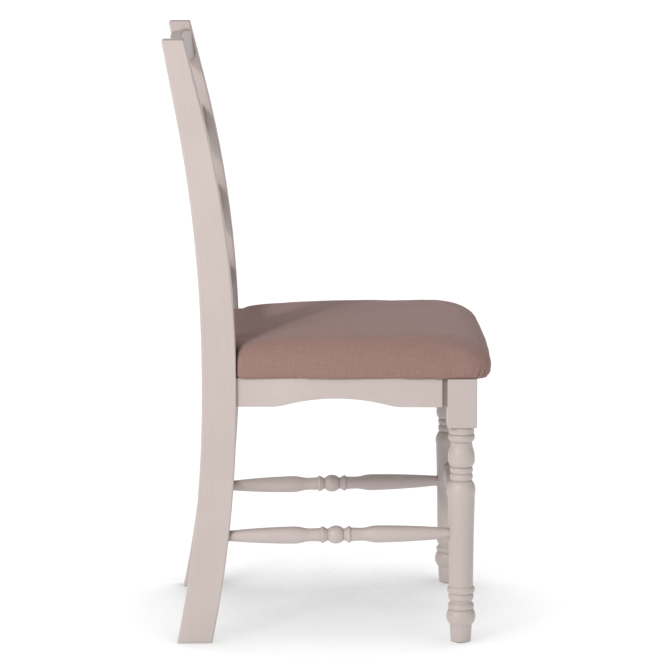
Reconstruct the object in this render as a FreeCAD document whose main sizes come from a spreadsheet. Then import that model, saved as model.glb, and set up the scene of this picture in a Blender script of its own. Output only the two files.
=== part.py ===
import FreeCAD, Part
import Sketcher
import os
import re
from math import sqrt
from FreeCAD import Placement, Rotation, Vector

# Ladder-back dining chair. X runs across the chair, the sitter faces -Y and Z is up.
# The origin is on the floor, under the middle of the chair's outline.

doc = FreeCAD.newDocument("dining_chair")

# Every size in millimetres and every angle in degrees, each written once
sizes = {
    "chair_height": 970.0,
    "frame_top": 433.0,
    "front_leg_spacing": 407.0,
    "rear_leg_spacing": 388.0,
    "front_leg_y": -213.0,
    "post_front_y": 145.0,

    # rear posts, each sawn to a sabre curve
    "post_width": 35.0,
    "post_depth": 55.0,
    "post_edge_round": 3.0,
    "foot_front_sweep": 39.5,
    "foot_back_sweep": 40.5,
    "foot_straight": 12.0,
    "lower_front_tangent": 407.0,
    "lower_back_tangent": 417.0,
    "upper_front_tangent": 427.0,
    "upper_back_tangent": 446.0,
    "upper_front_straight": 96.7,
    "upper_back_straight": 121.3,
    "upper_front_lean": 13.96,
    "upper_back_lean": 10.4,

    # turned front legs, from the floor up
    "foot_low_radius": 16.0,
    "foot_high_radius": 17.8,
    "foot_height": 29.4,
    "ball_height": 25.4,
    "ball_bulge": 4.9,
    "groove_radius": 19.3,
    "low_ring_height": 9.5,
    "low_ring_bulge": 1.7,
    "low_neck_height": 6.6,
    "low_neck_hollow": 1.8,
    "high_ring_height": 10.0,
    "high_ring_bulge": 1.2,
    "low_torus_height": 11.8,
    "low_torus_bulge": 2.9,
    "shaft_low_radius": 19.4,
    "shaft_high_radius": 21.9,
    "shaft_hollow": 0.5,
    "shoulder_height": 22.0,
    "shoulder_bulge": 3.0,
    "collar_groove_radius": 16.4,
    "collar_ring_height": 11.4,
    "collar_ring_bulge": 2.1,
    "vase_low_radius": 17.8,
    "vase_low_height": 13.3,
    "vase_low_bulge": 1.4,
    "vase_radius": 21.4,
    "vase_high_height": 28.0,
    "vase_mid_radius": 19.3,
    "vase_curve": 0.7,
    "vase_neck_radius": 17.0,
    "high_torus_height": 11.8,
    "high_torus_radius": 18.9,
    "high_torus_bulge": 2.5,
    "cap_height": 12.2,
    "cap_radius": 20.3,
    "block_length": 79.2,
    "block_size": 47.0,
    "block_edge_round": 1.5,

    # seat rails
    "rail_height": 46.5,
    "rail_thickness": 22.0,
    "rail_inset": 6.0,
    "rear_rail_inset": 8.0,
    "rail_edge_round": 1.5,
    "reveal_length": 8.0,
    "reveal_depth": 7.0,
    "scallop_half_length": 107.0,
    "scallop_rise": 13.6,
    "scallop_arch_radius": 320.0,
    "side_scallop_y": -14.0,
    "tenon_length": 18.0,
    "tenon_thickness": 9.0,
    "tenon_shoulder": 6.0,
    "joint_gap": 0.1,
    "glue_pocket": 1.0,

    # crest rail and three slats, bowed backwards
    "crest_height": 44.0,
    "crest_rise": 12.0,
    "crest_bow": 9.5,
    "crest_edge_round": 2.0,
    "crest_thickness": 18.5,
    "crest_inset": 4.0,
    "crest_drop": 15.0,
    "slat_height": 50.0,
    "slat_rise": 6.0,
    "slat_thickness": 16.0,
    "slat_inset": 15.0,
    "lowest_slat_lift": 113.0,
    "slat_lean": 6.5,
    "slat_bow": 18.5,
    "slat_edge_round": 2.0,
    "slat_tenon_length": 12.0,
    "slat_tenon_thickness": 9.0,
    "slat_tenon_shoulder": 6.0,

    # turned stretchers
    "side_stretcher_front_z": 179.0,
    "side_stretcher_rear_z": 174.0,
    "side_stretcher_mid_y": -12.5,
    "cross_stretcher_z": 204.0,
    "stretcher_end_radius": 8.7,
    "stretcher_spigot_length": 18.0,
    "stretcher_arm_bulge": 1.0,
    "stretcher_bulge_radius": 13.8,
    "stretcher_bulge_reach": 69.0,
    "stretcher_shoulder_radius": 12.2,
    "stretcher_shoulder_reach": 54.0,
    "stretcher_curve": 0.5,
    "stretcher_neck_radius": 10.3,
    "stretcher_neck_reach": 39.0,
    "stretcher_bead_foot_radius": 10.9,
    "stretcher_bead_end": 24.5,
    "stretcher_bead_radius": 13.4,
    "stretcher_bead_reach": 20.8,
    "stretcher_bead_round": 0.8,
    "stretcher_groove_radius": 9.0,
    "stretcher_ball_reach": 12.7,
    "stretcher_ball_radius": 14.5,
    "stretcher_seat_depth": 14.0,
    "stretcher_gap": 0.1,

    # corner blocks and screws
    "corner_block_depth": 26.0,
    "corner_block_height": 25.0,
    "corner_block_drop": 3.0,
    "corner_leg_gap": 4.0,
    "screw_radius": 2.0,
    "screw_gap": 0.05,
    "screw_head_radius": 3.8,
    "screw_head_height": 2.4,
    "screw_slot_depth": 1.4,
    "screw_slot_width": 0.9,
    "counterbore_radius": 4.6,
    "counterbore_depth": 8.0,
    "rail_bite": 13.0,

    # seat pad: plywood board, foam, woven cover
    "seat_front_overhang": 22.1,
    "seat_back_inset": 2.0,
    "seat_front_half_width": 234.0,
    "seat_rear_half_width": 214.0,
    "seat_edge_height": 64.0,
    "seat_crown": 7.0,
    "seat_bulge_height": 24.0,
    "seat_tuck": 9.0,
    "seat_top_draw": 33.0,
    "seat_side_round": 9.0,
    "seat_tuck_round": 3.0,
    "seat_front_roll": 46.0,
    "seat_front_under_roll": 15.0,
    "seat_rear_roll": 30.0,
    "seat_rear_under_roll": 6.0,
    "seat_corner_radius": 38.0,
    "seat_post_gap": 2.0,
    "cover_thickness": 1.2,
    "hem_lap": 12.0,
    "foam_gap": 0.3,
    "board_thickness": 12.0,
    "board_margin": 2.0,
    "board_corner_radius": 30.0,
    "board_screw_bite": 9.0,

    # dust cover stapled under the board
    "dust_cover_thickness": 0.6,
    "dust_cover_margin": 4.0,
    "dust_cover_screw_gap": 1.0,
    "staple_width": 10.0,
    "staple_wire": 0.9,
    "staple_leg": 7.0,
    "staple_edge": 6.0,
    "staple_spacing": 60.0,

    # floor glides, each held by a nail
    "glide_radius": 11.0,
    "glide_height": 2.0,
    "glide_edge_round": 0.8,
    "nail_radius": 1.2,
    "nail_length": 16.0,
    "nail_head_radius": 3.5,
    "nail_head_height": 0.8,
    "nail_recess": 0.4,
    "nail_gap": 0.05,
}

sheet = doc.addObject("Spreadsheet::Sheet", "dims")
for row, (name, number) in enumerate(sizes.items(), start=1):
    sheet.set(f"A{row}", name)
    sheet.set(f"B{row}", str(number))
    sheet.setAlias(f"B{row}", name)
doc.recompute()

# A formula is a text in the sheet's own names. The calculator works one out as a number.
calculator = doc.addObject("App::FeaturePython", "calculator")
calculator.addProperty("App::PropertyFloat", "Result")
nodes = []


def linked(formula):
    return re.sub(r"[a-z_]+", lambda word: "dims." + word[0] if word[0] in sizes else word[0], formula)


def value_of(formula):
    calculator.setExpression("Result", linked(formula))
    calculator.recompute()
    return calculator.Result


def bind(item, prop, formula):
    item.setExpression(prop, linked(formula))


def point(x, y, z):
    return Vector(value_of(x), value_of(y), value_of(z))


def aimed(start, end):
    return Placement(start, Rotation(Vector(0, 0, 1), end - start))


def new_body(label, x="0", y="0", z="0", rotation=None):
    body = doc.addObject("PartDesign::Body", label)
    body.Label = label
    if rotation:
        body.Placement = Placement(Vector(), rotation)
    bind(body, "Placement.Base.x", x)
    bind(body, "Placement.Base.y", y)
    bind(body, "Placement.Base.z", z)
    nodes.append(body)
    return body


def new_node(label, shape):
    item = doc.addObject("Part::Feature", label)
    item.Label = label
    item.Shape = shape
    nodes.append(item)


def new_sketch(body, name, plane, lift="0"):
    sketch = body.newObject("Sketcher::SketchObject", name)
    origin_plane = [item for item in body.Origin.OriginFeatures if item.Role == plane][0]
    sketch.AttachmentSupport = [(origin_plane, "")]
    sketch.MapMode = "FlatFace"
    bind(sketch, "AttachmentOffset.Base.z", lift)
    return sketch


# A closed loop through the corners, anticlockwise. arcs gives the rise of the arc that
# replaces the edge from that corner to the next, outwards where it is positive.
def outline(sketch, corners, arcs=None):
    arcs = arcs or {}
    points = [Vector(value_of(u), value_of(v), 0) for u, v in corners]
    first = sketch.GeometryCount
    tips = []
    for here, start in enumerate(points):
        end = points[(here + 1) % len(points)]
        if here in arcs:
            along = end - start
            outwards = Vector(along.y, -along.x, 0).normalize()
            rise = value_of(arcs[here])
            crown = (start + end) * 0.5 + outwards * rise
            # a sketch keeps its arcs anticlockwise, so a hollow one is drawn from its far end
            sketch.addGeometry(Part.Arc(start, crown, end) if rise > 0 else Part.Arc(end, crown, start))
            tips.append((1, 2) if rise > 0 else (2, 1))
        else:
            sketch.addGeometry(Part.LineSegment(start, end))
            tips.append((1, 2))
    for here, (start_tip, end_tip) in enumerate(tips):
        index = first + here
        following = (here + 1) % len(points)
        joint = Sketcher.Constraint("Coincident", index, end_tip, first + following, tips[following][0])
        sketch.addConstraint(joint)
        across, up = corners[here]
        for kind, formula in (("DistanceX", across), ("DistanceY", up)):
            place = Sketcher.Constraint(kind, -1, 1, index, start_tip, value_of(formula))
            bind(sketch, f"Constraints[{sketch.addConstraint(place)}]", formula)
        if here in arcs:
            next_across, next_up = corners[following]
            chord = f"(({next_across})-({across}))^2+(({next_up})-({up}))^2"
            radius = f"abs(({chord})/(8*({arcs[here]}))+({arcs[here]})/2)"
            bend = Sketcher.Constraint("Radius", index, value_of(radius))
            bind(sketch, f"Constraints[{sketch.addConstraint(bend)}]", radius)


def pad(body, sketch, length, symmetric=False):
    feature = body.newObject("PartDesign::Pad", "pad")
    feature.Profile = sketch
    if symmetric:
        feature.SideType = "Symmetric"
    bind(feature, "Length", length)
    doc.recompute()
    return feature


def pocket_through(body, sketch):
    feature = body.newObject("PartDesign::Pocket", "cut")
    feature.Profile = sketch
    feature.SideType = "Symmetric"
    feature.Type = "ThroughAll"
    doc.recompute()
    return feature


def revolve(body, sketch):
    feature = body.newObject("PartDesign::Revolution", "turning")
    feature.Profile = sketch
    feature.ReferenceAxis = (sketch, ["V_Axis"])
    feature.Angle = 360
    doc.recompute()
    return feature


def round_edges(body, radius, chosen):
    doc.recompute()
    base = body.Tip
    names = [f"Edge{count}" for count, edge in enumerate(base.Shape.Edges, start=1) if chosen(edge)]
    feature = body.newObject("PartDesign::Fillet", "rounding")
    feature.Base = (base, names)
    bind(feature, "Radius", radius)
    doc.recompute()
    return feature


# A block or a bore inside a body, placed in the body's own frame
def box_tool(body, kind, low, lengths):
    feature = body.newObject("PartDesign::" + kind + "Box", kind.lower())
    for prop, formula in zip(("Length", "Width", "Height"), lengths):
        bind(feature, prop, formula)
    for axis, formula in zip("xyz", low):
        bind(feature, "Placement.Base." + axis, formula)
    return feature


def bore(body, start, end, radius):
    feature = body.newObject("PartDesign::SubtractiveCylinder", "bore")
    bind(feature, "Radius", radius)
    feature.Height = (end - start).Length
    feature.Placement = aimed(start, end)
    return feature


# Heights and reference lines that several pieces share
post_back = "(post_front_y+post_depth)"
post_inner_x = "(rear_leg_spacing/2-post_width/2)"
rail_bottom = "(frame_top-rail_height)"
block_half = "block_size/2"
leg_inner_x = f"(front_leg_spacing/2-{block_half})"
leg_back_y = f"(front_leg_y+{block_half})"
front_rail_y = f"(front_leg_y-{block_half}+rail_inset+rail_thickness/2)"
rear_rail_y = f"({post_back}-rear_rail_inset-rail_thickness/2)"
side_rail_front_x = f"(front_leg_spacing/2+{block_half}-rail_inset)"
side_rail_rear_x = "(rear_leg_spacing/2+post_width/2-rail_inset)"
side_rail_slope = f"(({side_rail_front_x}-{side_rail_rear_x})/(post_front_y-{leg_back_y}))"
tenon_height = "(rail_height-2*tenon_shoulder)"


def side_rail_x(y):
    return f"({side_rail_front_x}-{side_rail_slope}*(({y})-{leg_back_y}))"


# The post's front face at a height below the seat
front_foot_rise = "(lower_front_tangent-foot_straight)"
back_foot_rise = "(lower_back_tangent-foot_straight)"
foot_radius = f"(({front_foot_rise}^2+foot_front_sweep^2)/(2*foot_front_sweep))"


def post_face_low(z):
    return f"(post_front_y+{foot_radius}-sqrt({foot_radius}^2-(lower_front_tangent-({z}))^2))"


# The post's front face above the seat: an arc, then a straight run at the same lean
front_arc_top = "(chair_height-upper_front_straight)"
front_arc_radius = f"(({front_arc_top}-upper_front_tangent)/sin(upper_front_lean))"
front_arc_out = f"({front_arc_radius}*(1-cos(upper_front_lean)))"
back_arc_top = "(chair_height-upper_back_straight)"
back_arc_radius = f"(({back_arc_top}-upper_back_tangent)/sin(upper_back_lean))"
back_arc_out = f"({back_arc_radius}*(1-cos(upper_back_lean)))"


def post_face_high(z):
    if value_of(z) < value_of(front_arc_top):
        drop = f"sqrt({front_arc_radius}^2-(({z})-upper_front_tangent)^2)"
        return f"(post_front_y+{front_arc_radius}-{drop})"
    return f"(post_front_y+{front_arc_out}+(({z})-{front_arc_top})*tan(upper_front_lean))"


# The crest rail and the slats: name, height, rise, bow, thickness, rounding, and the middle of its ends
crest_z = "(chair_height-crest_drop-crest_height/2)"
back_rows = [("crest_rail", "crest_height", "crest_rise", "crest_bow", "crest_thickness",
              "crest_edge_round", crest_z, "crest_inset")]
for count, name in enumerate(("back_slat_upper", "back_slat_middle", "back_slat_lower"), start=1):
    slat_z = f"({crest_z}-{count}*({crest_z}-frame_top-lowest_slat_lift)/3)"
    back_rows.append((name, "slat_height", "slat_rise", "slat_bow", "slat_thickness",
                      "slat_edge_round", slat_z, "slat_inset"))


def sweep_rise(run, sweep):
    radius = f"(({run})^2+({sweep})^2)/(2*({sweep}))"
    return f"(({radius})*(1-cos(atan(({sweep})/({run})))))"


def stretcher_line(side):
    front = point(f"{side}*front_leg_spacing/2", "front_leg_y", "side_stretcher_front_z")
    rear_y = post_face_low("side_stretcher_rear_z")
    rear = point(f"{side}*rear_leg_spacing/2", rear_y, "side_stretcher_rear_z")
    return front, rear


# Rear post and leg in one piece, with its mortises and stretcher holes
def rear_leg(label, side):
    body = new_body(label, x=f"{side}*rear_leg_spacing/2")
    sketch = new_sketch(body, "side_view", "YZ_Plane")
    back_straight = "upper_back_straight*tan(upper_back_lean)"
    front_straight = "upper_front_straight*tan(upper_front_lean)"
    corners = [
        (foot_front_y, "0"),
        (foot_back_y, "0"),
        (f"{post_back}+foot_back_sweep", "foot_straight"),
        (post_back, "lower_back_tangent"),
        (post_back, "upper_back_tangent"),
        (f"{post_back}+{back_arc_out}", back_arc_top),
        (f"{post_back}+{back_arc_out}+{back_straight}", "chair_height"),
        (f"post_front_y+{front_arc_out}+{front_straight}", "chair_height"),
        (f"post_front_y+{front_arc_out}", front_arc_top),
        ("post_front_y", "upper_front_tangent"),
        ("post_front_y", "lower_front_tangent"),
        ("post_front_y+foot_front_sweep", "foot_straight"),
    ]
    arcs = {
        2: f"-{sweep_rise(back_foot_rise, 'foot_back_sweep')}",
        4: f"-{back_arc_radius}*(1-cos(upper_back_lean/2))",
        8: f"{front_arc_radius}*(1-cos(upper_front_lean/2))",
        10: sweep_rise(front_foot_rise, "foot_front_sweep"),
    }
    outline(sketch, corners, arcs)
    pad(body, sketch, "post_width", symmetric=True)

    top_z = value_of("chair_height")

    def outer_edge(edge):
        box = edge.BoundBox
        along_side = box.XLength < 0.01 and box.ZMax > 0.01
        across_top = box.XLength > 1 and box.ZMin > top_z - 0.01
        return along_side or across_top

    round_edges(body, "post_edge_round", outer_edge)

    # the foot is cut off level, on top of the glide
    box_tool(body, "Subtractive", ("-post_width", "post_front_y", "-glide_height"),
             ("2*post_width", "3*post_depth", "2*glide_height"))
    inner = f"{-side}*post_width/2"
    # mortises for the back, tilted with each slat
    for _, height, _, _, thickness, _, z, inset in back_rows:
        tenon_wide = "(slat_tenon_thickness+2*joint_gap)"
        tenon_tall = f"({height}-2*slat_tenon_shoulder+2*joint_gap)"
        deep = "(slat_tenon_length+glue_pocket)"
        cut = body.newObject("PartDesign::SubtractiveBox", "mortise")
        bind(cut, "Length", deep)
        bind(cut, "Width", tenon_wide)
        bind(cut, "Height", tenon_tall)
        lean = Rotation(Vector(1, 0, 0), -value_of("slat_lean"))
        corner = point("0", f"({thickness}-{tenon_wide})/2", f"-{tenon_tall}/2")
        low_x = inner if side > 0 else f"{inner}-{deep}"
        seat = point(low_x, f"{post_face_high(z)}+{inset}", z)
        cut.Placement = Placement(seat + lean.multVec(corner), lean)
    # mortises for the side rail and the rear rail
    tenon_x = f"({side}*({side_rail_rear_x}-rail_thickness/2-rear_leg_spacing/2))"
    tenon_z = f"{rail_bottom}+tenon_shoulder-joint_gap"
    box_tool(body, "Subtractive",
             (f"{tenon_x}-tenon_thickness/2-joint_gap", "post_front_y-1", tenon_z),
             ("tenon_thickness+2*joint_gap", "tenon_length+glue_pocket+1", f"{tenon_height}+2*joint_gap"))
    deep = "(tenon_length+glue_pocket)"
    low_x = inner if side > 0 else f"{inner}-{deep}"
    box_tool(body, "Subtractive",
             (low_x, f"{rear_rail_y}-tenon_thickness/2-joint_gap", tenon_z),
             (deep, "tenon_thickness+2*joint_gap", f"{tenon_height}+2*joint_gap"))
    # holes for the side and the rear stretcher
    shift = point(f"{side}*rear_leg_spacing/2", "0", "0")
    front, rear = stretcher_line(side)
    along = (rear - front).normalize()
    hole_end = rear + along * value_of("stretcher_seat_depth+glue_pocket")
    hole_start = rear - along * value_of("post_depth/2")
    bore(body, hole_start - shift, hole_end - shift, "stretcher_end_radius+stretcher_gap")
    cross_y = f"{post_face_low('cross_stretcher_z')}+post_depth/2"
    start = point(f"{-side}*post_width", cross_y, "cross_stretcher_z")
    end = point(f"{-side}*(post_width/2-stretcher_seat_depth-glue_pocket)", cross_y, "cross_stretcher_z")
    bore(body, start, end, "stretcher_end_radius+stretcher_gap")
    # nail hole for the glide
    foot_y = rear_foot_y
    bore(body, point("0", foot_y, "0"), point("0", foot_y, "nail_length+glue_pocket"), "nail_radius+nail_gap")
    return body


front_foot_lean = f"(2*atan(foot_front_sweep/{front_foot_rise}))"
back_foot_lean = f"(2*atan(foot_back_sweep/{back_foot_rise}))"
foot_front_y = f"(post_front_y+foot_front_sweep+foot_straight*tan({front_foot_lean}))"
foot_back_y = f"({post_back}+foot_back_sweep+foot_straight*tan({back_foot_lean}))"
rear_foot_y = f"(({foot_front_y}+{foot_back_y})/2)"


# Turned front leg with its square block
def front_leg(label, side):
    body = new_body(label, x=f"{side}*front_leg_spacing/2", y="front_leg_y")
    sketch = new_sketch(body, "turning_profile", "XZ_Plane")
    block_bottom = "(frame_top-block_length)"
    vase = "cap_height+high_torus_height+vase_high_height+vase_low_height"
    shaft_top = f"({block_bottom}-({vase})-2*collar_ring_height-shoulder_height)"
    # each turned stretch: its height or its top, its radius there and its rise
    turning = [
        ("foot_height-glide_height", "foot_high_radius", None),
        ("ball_height", "groove_radius", "ball_bulge"),
        ("low_ring_height", "groove_radius", "low_ring_bulge"),
        ("low_neck_height", "groove_radius", "-low_neck_hollow"),
        ("high_ring_height", "groove_radius", "high_ring_bulge"),
        ("low_torus_height", "shaft_low_radius", "low_torus_bulge"),
        (None, "shaft_high_radius", "-shaft_hollow"),
        ("shoulder_height", "collar_groove_radius", "shoulder_bulge"),
        ("collar_ring_height", "collar_groove_radius", "collar_ring_bulge"),
        ("collar_ring_height", "collar_groove_radius", "collar_ring_bulge"),
        ("0", "vase_low_radius", None),
        ("vase_low_height", "vase_radius", "vase_low_bulge"),
        ("vase_high_height/2", "vase_mid_radius", "vase_curve"),
        ("vase_high_height/2", "vase_neck_radius", "-vase_curve"),
        ("0", "high_torus_radius", None),
        ("high_torus_height", "high_torus_radius", "high_torus_bulge"),
        ("0", "cap_radius", None),
        ("cap_height", "cap_radius", None),
    ]
    corners = [("0", "glide_height"), ("foot_low_radius", "glide_height")]
    arcs = {}
    height = "glide_height"
    for step, radius, rise in turning:
        if rise:
            arcs[len(corners) - 1] = rise
        height = shaft_top if step is None else f"{height}+{step}"
        corners.append((radius, height))
    corners.append(("0", height))
    outline(sketch, corners, arcs)
    revolve(body, sketch)

    square = new_sketch(body, "block_square", "XY_Plane", lift=block_bottom)
    low, high = f"-{block_half}", block_half
    outline(square, [(low, low), (high, low), (high, high), (low, high)])
    pad(body, square, "block_length")
    half = value_of(block_half)
    block_z = value_of(block_bottom)
    top_z = value_of("frame_top")

    def block_edge(edge):
        box = edge.BoundBox
        upright = box.ZLength > 1 and box.XLength < 0.01 and box.YLength < 0.01
        around = box.ZLength < 0.01 and max(box.XLength, box.YLength) > half
        at_end = abs(box.ZMin - block_z) < 0.01 or abs(box.ZMin - top_z) < 0.01
        straight = min(box.XLength, box.YLength) < 0.01
        return upright or (around and at_end and straight)

    round_edges(body, "block_edge_round", block_edge)

    # mortises for the front rail and the side rail, kept apart inside the block
    tenon_z = f"{rail_bottom}+tenon_shoulder-joint_gap"
    deep = "(tenon_length+glue_pocket)"
    low_x = f"-{block_half}" if side > 0 else f"{block_half}-{deep}"
    front_y = f"({front_rail_y}-front_leg_y)"
    box_tool(body, "Subtractive", (low_x, f"{front_y}-tenon_thickness/2-joint_gap", tenon_z),
             (deep, "tenon_thickness+2*joint_gap", f"{tenon_height}+2*joint_gap"))
    tenon_x = f"({side}*({side_tenon_x}-front_leg_spacing/2))"
    box_tool(body, "Subtractive",
             (f"{tenon_x}-tenon_thickness/2-joint_gap", f"{block_half}-{deep}", tenon_z),
             ("tenon_thickness+2*joint_gap", deep, f"{tenon_height}+2*joint_gap"))
    # holes for the side and the front stretcher
    shift = point(f"{side}*front_leg_spacing/2", "front_leg_y", "0")
    front, rear = stretcher_line(side)
    along = (rear - front).normalize()
    seat = value_of("shaft_low_radius-stretcher_seat_depth-glue_pocket")
    bore(body, front + along * seat - shift, front + along * value_of("block_size") - shift,
         "stretcher_end_radius+stretcher_gap")
    start = point(f"{-side}*(shaft_low_radius-stretcher_seat_depth-glue_pocket)", "0", "cross_stretcher_z")
    end = point(f"{-side}*block_size", "0", "cross_stretcher_z")
    bore(body, start, end, "stretcher_end_radius+stretcher_gap")
    bore(body, Vector(0, 0, 0), point("0", "0", "nail_length+glue_pocket"), "nail_radius+nail_gap")
    return body


side_tenon_x = f"({side_rail_front_x}-reveal_depth-(rail_thickness-reveal_depth)/2)"

# The serpentine cut under a rail: two coves and a flat arch, tangent to each other
scallop_turn = "(2*atan(scallop_rise/scallop_half_length))"
cove_radius = f"(scallop_half_length/sin({scallop_turn})-scallop_arch_radius)"


def scallop(body, plane, middle):
    sketch = new_sketch(body, "scallop", plane)
    meet = f"(scallop_arch_radius*sin({scallop_turn}))"
    meet_z = f"({rail_bottom}+scallop_rise-scallop_arch_radius*(1-cos({scallop_turn})))"
    corners = [
        (f"{middle}-scallop_half_length", rail_bottom),
        (f"{middle}+scallop_half_length", rail_bottom),
        (f"{middle}+{meet}", meet_z),
        (f"{middle}-{meet}", meet_z),
    ]
    cove_rise = f"-{cove_radius}*(1-cos({scallop_turn}/2))"
    arcs = {1: cove_rise, 2: f"scallop_arch_radius*(1-cos({scallop_turn}))", 3: cove_rise}
    outline(sketch, corners, arcs)
    pocket_through(body, sketch)


def low_outer_edges(on_face):
    limit = value_of(f"{rail_bottom}+scallop_rise") + 0.01

    def chosen(edge):
        box = edge.BoundBox
        return box.ZMax < limit and on_face(box)

    return chosen


def cross_rail(label, y, half_length, scalloped):
    body = new_body(label, y=y)
    sketch = new_sketch(body, "front_view", "XZ_Plane")
    low, high = f"-{half_length}", half_length
    outline(sketch, [(low, rail_bottom), (high, rail_bottom), (high, "frame_top"), (low, "frame_top")])
    pad(body, sketch, "rail_thickness", symmetric=True)
    outer = -value_of("rail_thickness/2")
    if scalloped:
        scallop(body, "XZ_Plane", "0")
    round_edges(body, "rail_edge_round", low_outer_edges(lambda box: box.YMax < outer + 0.01))
    for end in (1, -1):
        low_x = high if end > 0 else f"{low}-tenon_length"
        box_tool(body, "Additive", (low_x, "-tenon_thickness/2", f"{rail_bottom}+tenon_shoulder"),
                 ("tenon_length", "tenon_thickness", tenon_height))
    return body


def side_rail(label, side):
    body = new_body(label)
    sketch = new_sketch(body, "plan", "XY_Plane", lift=rail_bottom)
    reveal_y = f"({leg_back_y}+reveal_length)"
    reveal_x = f"({side_rail_front_x}-reveal_depth)"
    corners = [
        (f"{side_rail_front_x}-rail_thickness", leg_back_y),
        (reveal_x, leg_back_y),
        (reveal_x, reveal_y),
        (side_rail_x(reveal_y), reveal_y),
        (side_rail_rear_x, "post_front_y"),
        (f"{side_rail_rear_x}-rail_thickness", "post_front_y"),
    ]
    if side < 0:
        corners = [(f"-({x})", y) for x, y in reversed(corners)]
    outline(sketch, corners)
    pad(body, sketch, "rail_height")
    scallop(body, "YZ_Plane", "side_scallop_y")
    clear = value_of(f"{side_rail_rear_x}-rail_thickness/2")
    reveal_end = value_of(reveal_y)
    on_face = low_outer_edges(lambda box: min(abs(box.XMin), abs(box.XMax)) > clear
                              and box.YLength > 1 and box.YMax > reveal_end + 1)
    outer_line = value_of(side_rail_slope)

    def outer_edge(edge):
        middle = edge.valueAt((edge.FirstParameter + edge.LastParameter) / 2)
        face_x = value_of(side_rail_front_x) - outer_line * (middle.y - value_of(leg_back_y))
        return on_face(edge) and abs(abs(middle.x) - face_x) < 0.05

    round_edges(body, "rail_edge_round", outer_edge)
    for x, y in ((side_tenon_x, f"{leg_back_y}-tenon_length"),
                 (f"({side_rail_rear_x}-rail_thickness/2)", "post_front_y")):
        box_tool(body, "Additive", (f"{side}*{x}-tenon_thickness/2", y, f"{rail_bottom}+tenon_shoulder"),
                 ("tenon_thickness", "tenon_length", tenon_height))
    return body


# A bowed rail of the back, with an arched top edge and a tenon at each end
def back_rail(name, height, rise, bow, thickness, edge_round, z, inset):
    body = new_body(name, y=f"{post_face_high(z)}+{inset}", z=z,
                    rotation=Rotation(Vector(1, 0, 0), -value_of("slat_lean")))
    plan = new_sketch(body, "plan", "XY_Plane", lift=f"-{height}/2")
    low, high = f"-{post_inner_x}", post_inner_x
    corners = [(low, "0"), (high, "0"), (high, thickness), (low, thickness)]
    outline(plan, corners, {0: f"-{bow}", 2: bow})
    pad(body, plan, f"{height}+{rise}")
    arch = new_sketch(body, "arch", "XZ_Plane")
    above = f"({height}/2+2*{rise})"
    corners = [(low, f"{height}/2"), (high, f"{height}/2"), (high, above), (low, above)]
    outline(arch, corners, {0: f"-{rise}"})
    pocket_through(body, arch)
    long = value_of(post_inner_x)
    round_edges(body, edge_round, lambda edge: edge.BoundBox.XLength > long)
    for end in (1, -1):
        low_x = high if end > 0 else f"{low}-slat_tenon_length"
        box_tool(body, "Additive",
                 (low_x, f"({thickness}-slat_tenon_thickness)/2", f"-{height}/2+slat_tenon_shoulder"),
                 ("slat_tenon_length", "slat_tenon_thickness", f"{height}-2*slat_tenon_shoulder"))
    return body


# Turned stretcher about its own Z, with the ball at the origin
def stretcher(label, middle, low_reach, high_reach, rotation):
    body = new_body(label, *middle, rotation=rotation)
    sketch = new_sketch(body, "turning_profile", "XZ_Plane")
    half = [
        ("stretcher_bulge_radius", "stretcher_bulge_reach", "stretcher_curve"),
        ("stretcher_shoulder_radius", "stretcher_shoulder_reach", "-stretcher_curve"),
        ("stretcher_neck_radius", "stretcher_neck_reach", None),
        ("stretcher_bead_foot_radius", "stretcher_bead_end", "stretcher_bead_round"),
        ("stretcher_bead_radius", "stretcher_bead_reach", None),
        ("stretcher_groove_radius", "stretcher_ball_reach", None),
    ]
    corners = [("0", f"-({low_reach})"), ("stretcher_end_radius", f"-({low_reach})"),
               ("stretcher_end_radius", f"-({low_reach})+stretcher_spigot_length")]
    arcs = {2: "stretcher_arm_bulge"}
    for radius, reach, rise in half:
        if rise:
            arcs[len(corners)] = rise
        corners.append((radius, f"-{reach}"))
    arcs[len(corners) - 1] = "stretcher_ball_radius-stretcher_groove_radius"
    rises = [rise for radius, reach, rise in half]
    for place in reversed(range(len(half))):
        radius, reach, rise = half[place]
        if place and rises[place - 1]:
            arcs[len(corners)] = rises[place - 1]
        corners.append((radius, reach))
    arcs[len(corners) - 1] = "stretcher_arm_bulge"
    corners.append(("stretcher_end_radius", f"{high_reach}-stretcher_spigot_length"))
    corners.append(("stretcher_end_radius", high_reach))
    corners.append(("0", high_reach))
    outline(sketch, corners, arcs)
    revolve(body, sketch)
    return body


def side_stretcher(label, side):
    front, rear = stretcher_line(side)
    rear_y = post_face_low("side_stretcher_rear_z")
    share = f"((side_stretcher_mid_y-front_leg_y)/({rear_y}-front_leg_y))"
    across = "(rear_leg_spacing-front_leg_spacing)/2"
    rise = "(side_stretcher_rear_z-side_stretcher_front_z)"
    middle = (f"{side}*(front_leg_spacing/2+{share}*{across})", "side_stretcher_mid_y",
              f"side_stretcher_front_z+{share}*{rise}")
    length = f"sqrt(({across})^2+{rise}^2+({rear_y}-front_leg_y)^2)"
    low_reach = f"{share}*{length}-(shaft_low_radius-stretcher_seat_depth)"
    high_reach = f"(1-{share})*{length}+stretcher_seat_depth"
    return stretcher(label, middle, low_reach, high_reach, Rotation(Vector(0, 0, 1), rear - front))


across_turn = Rotation(Vector(0, 1, 0), 90)


def cross_stretcher(label, y, reach):
    return stretcher(label, ("0", y, "cross_stretcher_z"), reach, reach, across_turn)


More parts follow.
